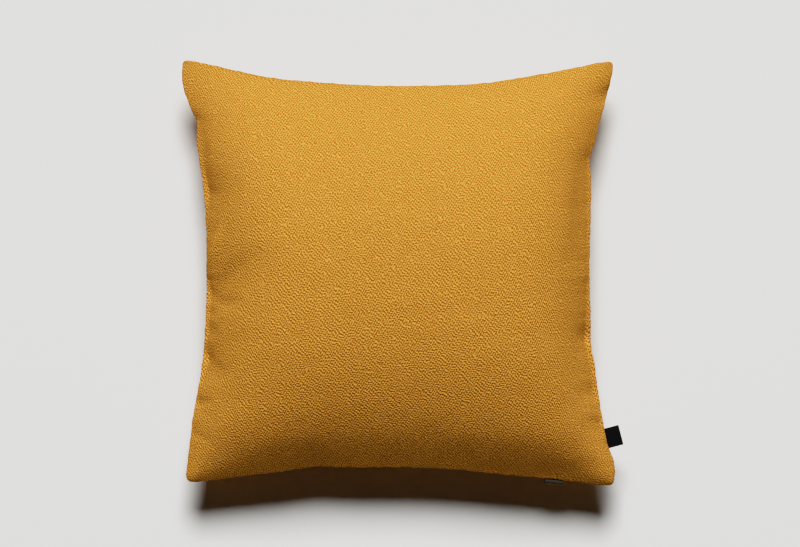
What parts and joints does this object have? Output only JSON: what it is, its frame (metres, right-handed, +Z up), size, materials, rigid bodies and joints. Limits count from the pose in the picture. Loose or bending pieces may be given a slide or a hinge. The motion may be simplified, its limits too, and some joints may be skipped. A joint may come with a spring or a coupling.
{
  "type": "square cushion",
  "caption": "Filled square cushion in mustard crepe cloth, with knife-edge seams drawn in between blunt corners and a small folded label in the side seam.",
  "frame": {"origin": "on the surface that the cushion lies on, at the middle of the flat patch pressed into its back", "axes": "+Z up out of the face, +Y towards the top edge, +X towards the edge that carries the side label"},
  "size_m": [0.5017, 0.4869, 0.15],
  "materials": {
    "cover_cloth": "matt mustard crepe weave with a pebbled face",
    "side_label_weave": "fine black label weave, bare",
    "seam_tab_weave": "soft grey tape weave, bare"
  },
  "bodies": {
    "root": {"cushion": "cover_cloth", "side_label": "side_label_weave", "seam_tab": "seam_tab_weave"}
  },
  "joints": []
}
